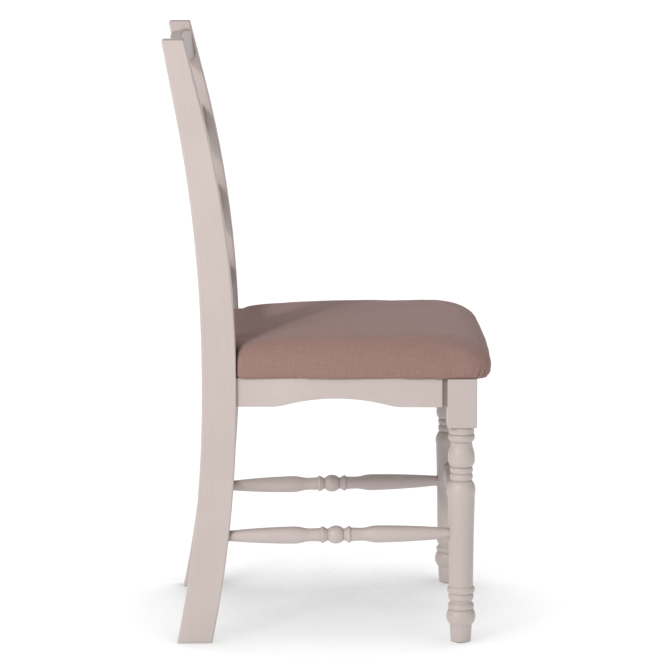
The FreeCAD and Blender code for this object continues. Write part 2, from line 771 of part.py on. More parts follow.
# Corner block between a cross rail and a side rail, clear of the leg's inner corner.
# end is -1 at the front and 1 at the rear.
def corner_lines(end):
    if end < 0:
        face_y = f"({front_rail_y}+rail_thickness/2)"
        reach = f"({leg_inner_x}-{leg_back_y}-corner_leg_gap)"
    else:
        face_y = f"({rear_rail_y}-rail_thickness/2)"
        reach = f"({post_inner_x}+post_front_y-corner_leg_gap)"
    return face_y, reach


def corner_point_on_side(reach, end):
    inner_x = f"({side_rail_front_x}-rail_thickness)"
    y = f"(({reach}-{inner_x}-{side_rail_slope}*{leg_back_y})/({end}-{side_rail_slope}))"
    return f"({side_rail_x(y)}-rail_thickness)", y


def corner_block(label, side, end):
    body = new_body(label)
    sketch = new_sketch(body, "plan", "XY_Plane", lift="frame_top-corner_block_drop-corner_block_height")
    face_y, outer = corner_lines(end)
    inner = f"({outer}-corner_block_depth*sqrt(2))"
    corners = [
        (f"{inner}-{end}*{face_y}", face_y),
        (f"{outer}-{end}*{face_y}", face_y),
        corner_point_on_side(outer, end),
        corner_point_on_side(inner, end),
    ]
    if side * end > 0:
        corners.reverse()
    corners = [(f"{side}*({x})", y) for x, y in corners]
    outline(sketch, corners)
    pad(body, sketch, "corner_block_height")
    for start, stop, head in block_screw_lines(side, end) + [seat_screw_line(side, end)]:
        along = (stop - start).normalize()
        outside = start - along * 40
        bore(body, outside, stop, "screw_radius+screw_gap")
        if head:
            bore(body, outside, start + along * value_of("screw_head_height"), "counterbore_radius")
    return body


# Each screw as the underside of its head's outer face, its tip, and whether it is sunk
def block_screw_lines(side, end):
    face_y, outer = corner_lines(end)
    middle = f"({outer}-corner_block_depth/sqrt(2))"
    inner = f"({outer}-corner_block_depth*sqrt(2))"
    z = "frame_top-corner_block_drop-corner_block_height/2"
    x = f"({middle}-{end}*{face_y})"
    head_y = f"({end}*({inner}-{x})+{end}*counterbore_depth)"
    first = (point(f"{side}*{x}", head_y, z), point(f"{side}*{x}", f"{face_y}+{end}*rail_bite", z), True)
    side_x, y = corner_point_on_side(middle, end)
    head_x = f"({inner}-{end}*{y}+counterbore_depth)"
    second = (point(f"{side}*{head_x}", y, z), point(f"{side}*({side_x}+rail_bite)", y, z), True)
    return [first, second]


def seat_screw_line(side, end):
    face_y, outer = corner_lines(end)
    middle = f"({outer}-corner_block_depth/sqrt(2))"
    side_x, side_y = corner_point_on_side(middle, end)
    x = f"(({middle}-{end}*{face_y})+{side_x})/2"
    y = f"({face_y}+{side_y})/2"
    low = "frame_top-corner_block_drop-corner_block_height-screw_head_height"
    high = "frame_top+cover_thickness+board_screw_bite"
    return point(f"{side}*{x}", y, low), point(f"{side}*{x}", y, high), False


corners_of_frame = [(side, end) for end in (-1, 1) for side in (-1, 1)]


def screw(start, stop):
    length = (stop - start).Length
    head_height = value_of("screw_head_height")
    head = Part.makeCylinder(value_of("screw_head_radius"), head_height)
    shank = Part.makeCylinder(value_of("screw_radius"), length - 3, Vector(0, 0, 0))
    tip = Part.makeCone(value_of("screw_radius"), 0.3, 3, Vector(0, 0, length - 3))
    solid = head.fuse([shank, tip])
    reach = value_of("screw_head_radius") * 0.6
    width = value_of("screw_slot_width")
    for turn in (0, 90):
        slot = Part.makeBox(2 * reach, width, value_of("screw_slot_depth"), Vector(-reach, -width / 2, 0))
        slot.rotate(Vector(), Vector(0, 0, 1), turn)
        solid = solid.cut(slot)
    solid.Placement = aimed(start, stop)
    return solid


# Seat pad. A section across the chair at one y: flat below, bulged sides, crowned top.
seat_front_y = f"(front_leg_y-{block_half}-seat_front_overhang)"
seat_back_y = f"({post_back}-rear_rail_inset-seat_back_inset)"


def pad_half_width(y):
    front_y, rear_y = value_of(seat_front_y), value_of("post_front_y")
    front, rear = value_of("seat_front_half_width"), value_of("seat_rear_half_width")
    return front + (rear - front) * (y - front_y) / (rear_y - front_y)


def roll(distance, length):
    share = min(distance / length, 1)
    return sqrt(1 - (1 - share) ** 2)


def pad_section(y, from_end, roll_top, roll_low, inset):
    corner = value_of("seat_corner_radius")
    half = pad_half_width(y) - inset - corner * (1 - roll(from_end, corner))
    base = value_of("frame_top")
    bulge = base + value_of("seat_bulge_height")
    up = roll(from_end, roll_top)
    down = roll(from_end, roll_low)
    top = bulge + (value_of("seat_edge_height-seat_bulge_height") - inset) * up
    low = bulge - (value_of("seat_bulge_height") - inset) * down
    draw = value_of("seat_top_draw") * up
    tuck = value_of("seat_tuck") * down
    crown = value_of("seat_crown") * up
    side_round = value_of("seat_side_round") * up
    tuck_round = value_of("seat_tuck_round") * down

    def arc(start, end, rise):
        along = end - start
        outwards = Vector(along.z, 0, -along.x).normalize()
        return Part.Arc(start, (start + end) * 0.5 + outwards * rise, end).toShape()

    low_right = Vector(half - tuck, y, low)
    wide_right = Vector(half, y, bulge)
    top_right = Vector(half - draw, y, top)
    top_left = Vector(draw - half, y, top)
    wide_left = Vector(-half, y, bulge)
    low_left = Vector(tuck - half, y, low)
    edges = [
        Part.LineSegment(low_left, low_right).toShape(),
        arc(low_right, wide_right, tuck_round),
        arc(wide_right, top_right, side_round),
        arc(top_right, top_left, crown),
        arc(top_left, wide_left, side_round),
        arc(wide_left, low_left, tuck_round),
    ]
    return Part.Wire(edges)


def pad_form(inset):
    front = value_of(seat_front_y) + inset
    back = value_of(seat_back_y) - inset
    front_roll, rear_roll = value_of("seat_front_roll"), value_of("seat_rear_roll")
    front_under, rear_under = value_of("seat_front_under_roll"), value_of("seat_rear_under_roll")

    def rolled_end(edge_y, direction, reach, under):
        low = [step * under for step in (0.01, 0.12, 0.35, 0.65, 1.0)]
        high = [under + step * (reach - under) for step in (0.0, 0.3, 0.65, 1.0)]

        def section(away):
            return pad_section(edge_y + direction * away, away, reach, under, inset)

        return [[section(away) for away in low], [section(away) for away in high]]

    nose = rolled_end(front, 1, front_roll, front_under)
    tail = rolled_end(back, -1, rear_roll, rear_under)
    middle = Part.makeLoft([nose[1][-1], tail[1][-1]], True, True)
    form = middle.fuse([Part.makeLoft(sections, True, False) for sections in nose + tail])
    form = form.cut(post_notches(inset))
    size = value_of("chair_height")
    underside = value_of("frame_top") + inset
    return form.cut(Part.makeBox(size, size, size, Vector(-size / 2, -size / 2, underside - size)))


def post_notches(inset):
    gap = value_of("seat_post_gap") + inset
    inner = value_of(post_inner_x) - gap
    front = value_of("post_front_y") - gap
    length, height = value_of("post_depth+post_width"), value_of("chair_height")
    notches = [Part.makeBox(length, length, height, Vector(inner, front, 0))]
    notches.append(Part.makeBox(length, length, height, Vector(-inner - length, front, 0)))
    return notches


def both_sides(right):
    return right + [(f"-({x})", y) for x, y in reversed(right)]


# The plan of the board and of the foam's hollow
def board_corners(inset):
    front_y = f"({seat_front_y}+seat_front_under_roll+{inset})"
    notch_y = f"(post_front_y-seat_post_gap-{inset})"
    back_y = f"({seat_back_y}-seat_rear_under_roll-{inset})"
    notch_x = f"({post_inner_x}-seat_post_gap-{inset})"
    slope = f"((seat_front_half_width-seat_rear_half_width)/(post_front_y-{seat_front_y}))"

    def side_x(y):
        return f"(seat_front_half_width-{slope}*(({y})-{seat_front_y})-seat_tuck-{inset})"

    corner_y = f"({front_y}+board_corner_radius)"
    right = [
        (f"{side_x(front_y)}-board_corner_radius", front_y),
        (side_x(corner_y), corner_y),
        (side_x(notch_y), notch_y),
        (notch_x, notch_y),
        (notch_x, back_y),
    ]
    return both_sides(right)


corner_rise = "board_corner_radius*(1-cos(45))"


def seat_prism(inset, low, high):
    points = [point(x, y, low) for x, y in board_corners(inset)]
    rounded = (0, len(points) - 2)
    edges = []
    for here, start in enumerate(points):
        end = points[(here + 1) % len(points)]
        if here in rounded:
            along = end - start
            crown = (start + end) * 0.5 + Vector(along.y, -along.x, 0).normalize() * value_of(corner_rise)
            edges.append(Part.Arc(start, crown, end).toShape())
        else:
            edges.append(Part.LineSegment(start, end).toShape())
    return Part.Face(Part.Wire(edges)).extrude(Vector(0, 0, value_of(high) - value_of(low)))


def seat_board():
    body = new_body("seat_board")
    sketch = new_sketch(body, "plan", "XY_Plane", lift="frame_top+cover_thickness")
    corners = board_corners("(cover_thickness+board_margin)")
    outline(sketch, corners, {0: corner_rise, len(corners) - 2: corner_rise})
    pad(body, sketch, "board_thickness")
    for side, end in corners_of_frame:
        start, stop, head = seat_screw_line(side, end)
        bore(body, start, stop + Vector(0, 0, value_of("glue_pocket")), "screw_radius+screw_gap")
    return body


def seat_foam():
    form = pad_form(value_of("cover_thickness+foam_gap"))
    board_top = "frame_top+cover_thickness+board_thickness"
    hollow = seat_prism("(cover_thickness+board_margin-foam_gap)", "frame_top", board_top)
    new_node("seat_foam", form.cut(hollow))


# The space between the rails, a margin in from them: its right-hand corners, front to rear
def inside_side_x(y, margin):
    return f"({side_rail_x(y)}-rail_thickness-{margin})"


def inside_rails(margin):
    front_y = f"({front_rail_y}+rail_thickness/2+{margin})"
    rear_y = f"({rear_rail_y}-rail_thickness/2-{margin})"
    post_y = f"(post_front_y-{margin})"
    post_x = f"({post_inner_x}-{margin})"
    return [
        (inside_side_x(front_y, margin), front_y),
        (inside_side_x(post_y, margin), post_y),
        (post_x, post_y),
        (post_x, rear_y),
    ]


# The cover is turned in under the board. Its hem ends beneath the dust cover's edge.
def seat_cover():
    skin = pad_form(0).cut(pad_form(value_of("cover_thickness")))
    hem_edge = both_sides(inside_rails("(dust_cover_margin+hem_lap)"))
    window = Part.makePolygon([point(x, y, "frame_top-1") for x, y in hem_edge + hem_edge[:1]])
    depth = value_of("cover_thickness") + 2
    new_node("seat_cover", skin.cut(Part.Face(window).extrude(Vector(0, 0, depth))))


# Dust cover under the board: inside the rails, its corners cut clear of the front legs
def dust_cover_corners():
    margin = "dust_cover_margin"
    corners = inside_rails(margin)
    leg_x = f"({leg_inner_x}-{margin})"
    leg_y = f"({leg_back_y}+{margin})"
    beside_leg = [(leg_x, corners[0][1]), (leg_x, leg_y), (inside_side_x(leg_y, margin), leg_y)]
    return both_sides(beside_leg + corners[1:])


def dust_cover():
    body = new_body("dust_cover")
    sketch = new_sketch(body, "plan", "XY_Plane", lift="frame_top-dust_cover_thickness")
    outline(sketch, dust_cover_corners())
    pad(body, sketch, "dust_cover_thickness")
    for side, end in corners_of_frame:
        start, stop, head = seat_screw_line(side, end)
        bore(body, start, stop, "screw_radius+dust_cover_screw_gap")
    return body


# Staples along the dust cover's long edges: a crown and two legs each
def staple(place, turn):
    wire, width = value_of("staple_wire"), value_of("staple_width")
    leg = value_of("staple_leg")
    crown = Part.makeBox(width, wire, wire, Vector(-width / 2, -wire / 2, -wire))
    left = Part.makeBox(wire, wire, leg, Vector(-width / 2, -wire / 2, 0))
    right = Part.makeBox(wire, wire, leg, Vector(width / 2 - wire, -wire / 2, 0))
    solid = crown.fuse([left, right])
    solid.Placement = Placement(place, Rotation(Vector(0, 0, 1), turn))
    return solid


def staple_row(start, end, turn):
    gap = end - start
    count = max(2, int(gap.Length / value_of("staple_spacing")) + 1)
    return [staple(start + gap * (step / (count - 1)), turn) for step in range(count)]


def staples():
    z = "frame_top-dust_cover_thickness"
    edge = "staple_edge"
    corners = dust_cover_corners()
    front_x, front_y = corners[0]
    side_front_x, side_front_y = corners[2]
    side_rear_x, side_rear_y = corners[3]
    rear_x, rear_y = corners[5]
    inside = "(staple_edge+staple_width)"
    rows = []
    rows += staple_row(point(f"-({front_x})+{inside}", f"{front_y}+{edge}", z),
                       point(f"{front_x}-{inside}", f"{front_y}+{edge}", z), 0)
    rows += staple_row(point(f"-({rear_x})+{inside}", f"{rear_y}-{edge}", z),
                       point(f"{rear_x}-{inside}", f"{rear_y}-{edge}", z), 0)
    for side in (-1, 1):
        rows += staple_row(point(f"{side}*({side_front_x}-{edge})", f"{side_front_y}+{inside}", z),
                           point(f"{side}*({side_rear_x}-{edge})", f"{side_rear_y}-{inside}", z), 90)
    new_node("staples", Part.makeCompound(rows))


# Nylon glide under a foot, with the hole and the sinking for its nail
def foot_glide(label, x, y):
    body = new_body(label, x=x, y=y)
    sketch = new_sketch(body, "section", "XZ_Plane")
    hole = "nail_radius+nail_gap"
    recess = "nail_head_radius+nail_gap"
    recess_top = "nail_recess+nail_head_height"
    corners = [
        (recess, "0"),
        ("glide_radius-glide_edge_round", "0"),
        ("glide_radius", "glide_edge_round"),
        ("glide_radius", "glide_height"),
        (hole, "glide_height"),
        (hole, recess_top),
        (recess, recess_top),
    ]
    outline(sketch, corners, {1: "glide_edge_round*(1-cos(45))"})
    revolve(body, sketch)
    return body


def glide_nail(x, y):
    start = point(x, y, "nail_recess")
    head = Part.makeCylinder(value_of("nail_head_radius"), value_of("nail_head_height"), start)
    shank = Part.makeCylinder(value_of("nail_radius"), value_of("nail_length"), start)
    return head.fuse(shank)


def pilot_holes(rail, lines):
    for start, stop, head in lines:
        along = (stop - start).normalize()
        shift = rail.Placement.Base
        bore(rail, start - shift, stop + along * value_of("glue_pocket") - shift, "screw_radius+screw_gap")


def build_frame():
    for side, name in ((-1, "left"), (1, "right")):
        rear_leg("rear_leg_" + name, side)
        front_leg("front_leg_" + name, side)
        side_stretcher("side_stretcher_" + name, side)
    for row in back_rows:
        back_rail(*row)
    front_rail = cross_rail("front_rail", front_rail_y, leg_inner_x, True)
    rear_rail = cross_rail("rear_rail", rear_rail_y, post_inner_x, False)
    front_reach = "front_leg_spacing/2-(shaft_low_radius-stretcher_seat_depth)"
    cross_stretcher("front_stretcher", "front_leg_y", front_reach)
    rear_y = f"{post_face_low('cross_stretcher_z')}+post_depth/2"
    cross_stretcher("rear_stretcher", rear_y, f"{post_inner_x}+stretcher_seat_depth")
    doc.recompute()

    screws = []
    for side, name in ((-1, "left"), (1, "right")):
        rail = side_rail("side_rail_" + name, side)
        for end, rail_across in ((-1, front_rail), (1, rear_rail)):
            across_line, side_line = block_screw_lines(side, end)
            pilot_holes(rail_across, [across_line])
            pilot_holes(rail, [side_line])
            screws += [screw(*across_line[:2]), screw(*side_line[:2])]
            corner_block(f"corner_block_{'front' if end < 0 else 'rear'}_{name}", side, end)
    new_node("corner_block_screws", Part.makeCompound(screws))


def build_seat():
    seat_board()
    seat_foam()
    seat_cover()
    dust_cover()
    staples()
    lines = [seat_screw_line(side, end) for side, end in corners_of_frame]
    new_node("seat_screws", Part.makeCompound([screw(start, stop) for start, stop, head in lines]))


def build_glides():
    nails = []
    for side, name in ((-1, "left"), (1, "right")):
        for end, x, y in (("front", f"{side}*front_leg_spacing/2", "front_leg_y"),
                          ("rear", f"{side}*rear_leg_spacing/2", rear_foot_y)):
            foot_glide(f"foot_glide_{end}_{name}", x, y)
            nails.append(glide_nail(x, y))
    new_node("glide_nails", Part.makeCompound(nails))


def check_document():
    doc.recompute()
    for item in doc.Objects:
        if "Invalid" in item.State or "Error" in item.State:
            raise RuntimeError(item.Label + " failed: " + str(item.State))
    for node in nodes:
        if node.Shape.isNull() or not node.Shape.isValid():
            raise RuntimeError(node.Label + " has no valid shape")


build_frame()
build_seat()
build_glides()
check_document()
os.makedirs("parts", exist_ok=True)
for node in nodes:
    node.Shape.exportStep(f"parts/{node.Label}.step")
    print(node.Label, len(node.Shape.Solids), round(node.Shape.Volume / 1000, 1), "cm3")
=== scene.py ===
import bpy
import bmesh
from math import atan2, ceil, cos, exp, pi, radians, sin, sqrt, tan
from mathutils import Matrix, Vector, noise


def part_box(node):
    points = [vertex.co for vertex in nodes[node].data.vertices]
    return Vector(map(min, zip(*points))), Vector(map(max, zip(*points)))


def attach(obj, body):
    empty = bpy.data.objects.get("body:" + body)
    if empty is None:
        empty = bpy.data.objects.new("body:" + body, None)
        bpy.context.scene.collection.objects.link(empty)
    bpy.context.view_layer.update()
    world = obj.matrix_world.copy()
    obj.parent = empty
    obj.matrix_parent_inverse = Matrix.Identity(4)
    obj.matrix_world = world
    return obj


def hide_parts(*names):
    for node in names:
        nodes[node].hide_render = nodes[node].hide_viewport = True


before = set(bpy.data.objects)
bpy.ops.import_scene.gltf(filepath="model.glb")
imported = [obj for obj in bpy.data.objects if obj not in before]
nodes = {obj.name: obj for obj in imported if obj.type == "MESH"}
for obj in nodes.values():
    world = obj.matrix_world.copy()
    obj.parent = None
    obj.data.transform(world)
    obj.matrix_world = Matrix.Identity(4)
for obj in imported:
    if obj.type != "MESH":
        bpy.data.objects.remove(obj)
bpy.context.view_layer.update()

# Ladder-back dining chair, dressed: painted wood, a linen seat pad, a dust cover and its staples.
scene = bpy.context.scene


def linear(hexText):
    channels = [int(hexText[i:i + 2], 16) / 255 for i in (1, 3, 5)]
    return tuple(c / 12.92 if c <= 0.04045 else ((c + 0.055) / 1.055) ** 2.4 for c in channels) + (1.0,)


def addNode(tree, kind, sockets=None, **settings):
    item = tree.nodes.new(kind)
    for name, value in settings.items():
        setattr(item, name, value)
    for name, value in (sockets or {}).items():
        socket = item.inputs[name]
        if isinstance(value, bpy.types.NodeSocket):
            tree.links.new(value, socket)
        else:
            socket.default_value = value
    return item


def newMaterial(name):
    material = bpy.data.materials.new(name)
    material.use_nodes = True
    material.node_tree.nodes.clear()
    return material, material.node_tree


def finishMaterial(tree, sockets):
    shader = addNode(tree, "ShaderNodeBsdfPrincipled", sockets)
    addNode(tree, "ShaderNodeOutputMaterial", {"Surface": shader.outputs["BSDF"]})


# Sockets 6 and 7 of the node take the two colours, and its output 2 gives the mix
def mixColour(tree, amount, first, second):
    mix = addNode(tree, "ShaderNodeMix", {"Factor": amount}, data_type="RGBA")
    for place, colour in ((6, first), (7, second)):
        if isinstance(colour, bpy.types.NodeSocket):
            tree.links.new(colour, mix.inputs[place])
        else:
            mix.inputs[place].default_value = colour
    return mix.outputs[2]


def remap(tree, value, source=(0.0, 1.0), result=(0.0, 1.0)):
    return addNode(tree, "ShaderNodeMapRange", {
        "Value": value, "From Min": source[0], "From Max": source[1],
        "To Min": result[0], "To Max": result[1]}).outputs[0]


def calculate(tree, operation, *operands):
    return addNode(tree, "ShaderNodeMath", dict(enumerate(operands)), operation=operation).outputs[0]


def objectPlace(tree):
    return addNode(tree, "ShaderNodeTexCoord").outputs["Object"]


def scaled(tree, place, scale):
    return addNode(tree, "ShaderNodeMapping", {"Vector": place, "Scale": scale}).outputs["Vector"]


def noiseField(tree, place, scale, detail, sockets=None, **settings):
    given = {"Vector": place, "Scale": scale, "Detail": detail, **(sockets or {})}
    return addNode(tree, "ShaderNodeTexNoise", given, **settings).outputs["Fac"]


def cellField(tree, place, scale):
    return addNode(tree, "ShaderNodeTexVoronoi", {"Vector": place, "Scale": scale}).outputs["Distance"]


def bumped(tree, height, depth, sockets=None):
    given = {"Height": height, "Distance": depth, **(sockets or {})}
    return addNode(tree, "ShaderNodeBump", given).outputs[0]


# Satin water-based paint, sprayed and rubbed down on beech: soft sheen, faint grain showing through
# The groove colour, reach, range and samples below are painted shade: a darker paint colour laid by ambient
# occlusion in grooves and joints
satinPaint = {
    "colour": "#BFB3AF", "shaded": "#B9ADA9", "grooveShade": "#8A7D78", "toneRange": (0.75, 1.25),
    "grainWidth": 0.0016, "grainLength": 0.075, "grainDetail": 4.0, "grainRoughness": 0.6,
    "grainDepth": 0.00002, "cloud": 0.11, "cloudDetail": 3.0, "peel": 0.0011, "peelDetail": 1.0,
    "peelDepth": 0.000012, "roughness": (0.34, 0.44),
    "grooveShadeReach": 0.007, "grooveShadeRange": (0.45, 0.9), "grooveShadeSamples": 8,
}


def paintedWood(name, along):
    material, tree = newMaterial(name)
    values = satinPaint
    place = objectPlace(tree)
    scale = [1 / values["grainWidth"]] * 3
    scale["XYZ".index(along)] = 1 / values["grainLength"]
    grain = noiseField(tree, scaled(tree, place, scale), 1.0, values["grainDetail"],
                       {"Roughness": values["grainRoughness"]})
    cloud = noiseField(tree, place, 1 / values["cloud"], values["cloudDetail"])
    peel = noiseField(tree, place, 1 / values["peel"], values["peelDetail"])
    tone = remap(tree, calculate(tree, "ADD", grain, cloud), values["toneRange"])
    paint = mixColour(tree, tone, linear(values["colour"]), linear(values["shaded"]))
    # painted shade: the paint colour is darkened in the grooves of the turnings and at the joints, where
    # ambient occlusion finds little open space
    openness = addNode(tree, "ShaderNodeAmbientOcclusion", {"Distance": values["grooveShadeReach"]},
                       samples=values["grooveShadeSamples"]).outputs["AO"]
    deep = remap(tree, openness, values["grooveShadeRange"], (1.0, 0.0))
    colour = mixColour(tree, deep, paint, linear(values["grooveShade"]))
    rough = remap(tree, grain, result=values["roughness"])
    fine = bumped(tree, peel, values["peelDepth"])
    bump = bumped(tree, grain, values["grainDepth"], {"Normal": fine})
    finishMaterial(tree, {"Base Color": colour, "Roughness": rough, "Normal": bump})
    return material


# Sawn and sanded wood with growth rings, unfinished: dull, warm, with darker late-wood lines
sawnWood = {
    "stretch": 30, "ringDetail": 5.0, "ringWander": 0.6, "ringRange": (0.35, 0.65),
    "poreScale": 9.0, "poreDetail": 2.0, "poreDepth": 0.00008, "roughness": 0.72,
}
bareBeech = {"along": "X", "light": "#D2B48C", "dark": "#B8946A", "ring": 0.004}
birchPlywood = {"along": "Y", "light": "#D8BE96", "dark": "#C2A274", "ring": 0.006}


def bareWood(name, kind):
    material, tree = newMaterial(name)
    values = sawnWood
    scale = [1 / kind["ring"]] * 3
    scale["XYZ".index(kind["along"])] = 1 / (kind["ring"] * values["stretch"])
    stretched = scaled(tree, objectPlace(tree), scale)
    rings = noiseField(tree, stretched, 1.0, values["ringDetail"], {"Distortion": values["ringWander"]})
    pores = noiseField(tree, stretched, values["poreScale"], values["poreDetail"])
    tone = remap(tree, rings, values["ringRange"])
    colour = mixColour(tree, tone, linear(kind["light"]), linear(kind["dark"]))
    bump = bumped(tree, pores, values["poreDepth"])
    finishMaterial(tree, {"Base Color": colour, "Roughness": values["roughness"], "Normal": bump})
    return material


# Plain-woven linen and polyester yarn, mauve brown: two tones of yarn, slubs and a dusty sheen.
# The threads are drawn about twice as coarse as they are, so that the weave shows.
linenCloth = {
    "warp": "#9B7C75", "weft": "#84675F", "slub": "#AA8E86", "thread": 0.0011, "weftShift": 0.7,
    "cellRange": (-0.6, 0.6), "slubWidth": 0.0014, "slubLength": 0.030, "slubDetail": 2.0,
    "slubRange": (0.9, 1.3), "slubShare": 0.3, "depth": 0.00018, "roughness": 0.88, "specular": 0.25,
    "sheen": 0.3, "sheenRoughness": 0.45, "sheenTint": "#D3CAD0",
}


def wovenLinen(name):
    material, tree = newMaterial(name)
    values = linenCloth
    cloth = addNode(tree, "ShaderNodeUVMap", uv_map="clothMap").outputs["UV"]
    parts = addNode(tree, "ShaderNodeSeparateXYZ", {"Vector": cloth})

    def threads(axis, shift):
        turns = calculate(tree, "MULTIPLY", parts.outputs[axis], pi / values["thread"])
        wave = calculate(tree, "SINE", calculate(tree, "ADD", turns, shift))
        return calculate(tree, "ABSOLUTE", wave)

    def slubs(scale):
        return noiseField(tree, scaled(tree, cloth, scale), 1.0, values["slubDetail"],
                          noise_dimensions="2D")

    warp, weft = threads("X", 0.0), threads("Y", values["weftShift"])
    across, along = 1 / values["slubWidth"], 1 / values["slubLength"]
    warpSlubs, weftSlubs = slubs((across, along, 1.0)), slubs((along, across, 1.0))
    over = remap(tree, calculate(tree, "SUBTRACT", warp, weft), values["cellRange"])
    weave = mixColour(tree, over, linear(values["weft"]), linear(values["warp"]))
    thick = calculate(tree, "ADD", warpSlubs, weftSlubs)
    seen = remap(tree, thick, values["slubRange"], (0.0, values["slubShare"]))
    colour = mixColour(tree, seen, weave, linear(values["slub"]))
    height = calculate(tree, "ADD", calculate(tree, "MAXIMUM", warp, weft), thick)
    bump = bumped(tree, height, values["depth"])
    finishMaterial(tree, {
        "Base Color": colour, "Roughness": values["roughness"], "Specular IOR Level": values["specular"],
        "Sheen Weight": values["sheen"], "Sheen Roughness": values["sheenRoughness"],
        "Sheen Tint": linear(values["sheenTint"]), "Normal": bump,
    })
    return material


# Open-cell polyurethane foam: pale, porous and dull
foamLook = {"cellScale": 700.0, "deep": "#D9CFA9", "light": "#F1E9C9", "depth": 0.0004, "roughness": 0.95}


def openFoam(name):
    material, tree = newMaterial(name)
    values = foamLook
    cells = cellField(tree, objectPlace(tree), values["cellScale"])
    colour = mixColour(tree, cells, linear(values["deep"]), linear(values["light"]))
    bump = bumped(tree, cells, values["depth"])
    finishMaterial(tree, {"Base Color": colour, "Roughness": values["roughness"], "Normal": bump})
    return material


# Spun-bonded polypropylene: black, with a matted net of fibres and a faint sheen
liningLook = {
    "fibreScale": 900.0, "fibreDetail": 5.0, "fibreWander": 1.5, "dotScale": 650.0,
    "dark": "#141416", "light": "#2C2C30", "depth": 0.00012, "roughness": 0.8, "sheen": 0.2,
}


def spunLining(name):
    material, tree = newMaterial(name)
    values = liningLook
    place = objectPlace(tree)
    fibres = noiseField(tree, place, values["fibreScale"], values["fibreDetail"],
                        {"Distortion": values["fibreWander"]})
    dots = cellField(tree, place, values["dotScale"])
    colour = mixColour(tree, fibres, linear(values["dark"]), linear(values["light"]))
    bump = bumped(tree, calculate(tree, "ADD", fibres, dots), values["depth"])
    finishMaterial(tree, {"Base Color": colour, "Roughness": values["roughness"],
                          "Sheen Weight": values["sheen"], "Normal": bump})
    return material


# Zinc-plated steel wire and screws: bright, slightly clouded
zincLook = {"cloudScale": 260.0, "cloudDetail": 4.0, "cool": "#B4B6B8", "warm": "#D5D3CB",
            "roughness": (0.22, 0.45)}


def zincSteel(name):
    material, tree = newMaterial(name)
    values = zincLook
    cloud = noiseField(tree, objectPlace(tree), values["cloudScale"], values["cloudDetail"])
    colour = mixColour(tree, cloud, linear(values["cool"]), linear(values["warm"]))
    rough = remap(tree, cloud, result=values["roughness"])
    finishMaterial(tree, {"Base Color": colour, "Metallic": 1.0, "Roughness": rough})
    return material


# Moulded nylon: dark, waxy, scuffed by the floor
nylonLook = {"scuffScale": 420.0, "scuffDetail": 5.0, "dark": "#2A2421", "light": "#3A332F",
             "roughness": (0.38, 0.62), "depth": 0.00004}


def mouldedNylon(name):
    material, tree = newMaterial(name)
    values = nylonLook
    scuff = noiseField(tree, objectPlace(tree), values["scuffScale"], values["scuffDetail"])
    colour = mixColour(tree, scuff, linear(values["dark"]), linear(values["light"]))
    rough = remap(tree, scuff, result=values["roughness"])
    bump = bumped(tree, scuff, values["depth"])
    finishMaterial(tree, {"Base Color": colour, "Roughness": rough, "Normal": bump})
    return material


uprightPaint = paintedWood("satinPaintUpright", "Z")
deepPaint = paintedWood("satinPaintAlongSides", "Y")
crossPaint = paintedWood("satinPaintAcross", "X")
blockWood = bareWood("bareBeech", bareBeech)
boardWood = bareWood("birchPlywood", birchPlywood)
seatLinen = wovenLinen("linenSeatCloth")
seatFoamFinish = openFoam("openCellFoam")
liningFinish = spunLining("spunBondedLining")
zincFinish = zincSteel("zincPlatedSteel")
nylonFinish = mouldedNylon("mouldedNylon")
print("materials ready")

nodeFinishes = {
    uprightPaint: ["rear_leg_left", "rear_leg_right", "front_leg_left", "front_leg_right"],
    deepPaint: ["side_rail_left", "side_rail_right", "side_stretcher_left", "side_stretcher_right"],
    crossPaint: ["front_rail", "rear_rail", "front_stretcher", "rear_stretcher", "crest_rail",
                 "back_slat_upper", "back_slat_middle", "back_slat_lower"],
    blockWood: ["corner_block_front_left", "corner_block_front_right", "corner_block_rear_left",
                "corner_block_rear_right"],
    boardWood: ["seat_board"],
    seatFoamFinish: ["seat_foam"],
    seatLinen: ["seat_cover"],
    liningFinish: ["dust_cover"],
    zincFinish: ["corner_block_screws", "seat_screws", "staples", "glide_nails"],
    nylonFinish: ["foot_glide_front_left", "foot_glide_front_right", "foot_glide_rear_left",
                  "foot_glide_rear_right"],
}
for material, names in nodeFinishes.items():
    for name in names:
        slots = nodes[name].data.materials
        slots.clear()
        slots.append(material)
print("wood and hardware dressed")


def newPiece(name, mesh, material):
    piece = bpy.data.objects.new(name, mesh)
    scene.collection.objects.link(piece)
    mesh.materials.clear()
    mesh.materials.append(material)
    return piece


weldReach = 0.00001


def meshFrom(name, points, faces):
    mesh = bpy.data.meshes.new(name)
    mesh.from_pydata(points, [], faces)
    form = bmesh.new()
    form.from_mesh(mesh)
    bmesh.ops.remove_doubles(form, verts=form.verts, dist=weldReach)
    bmesh.ops.recalc_face_normals(form, faces=form.faces)
    form.to_mesh(mesh)
    form.free()
    return mesh


def applied(piece):
    graph = bpy.context.evaluated_depsgraph_get()
    mesh = bpy.data.meshes.new_from_object(piece.evaluated_get(graph))
    piece.modifiers.clear()
    piece.data = mesh


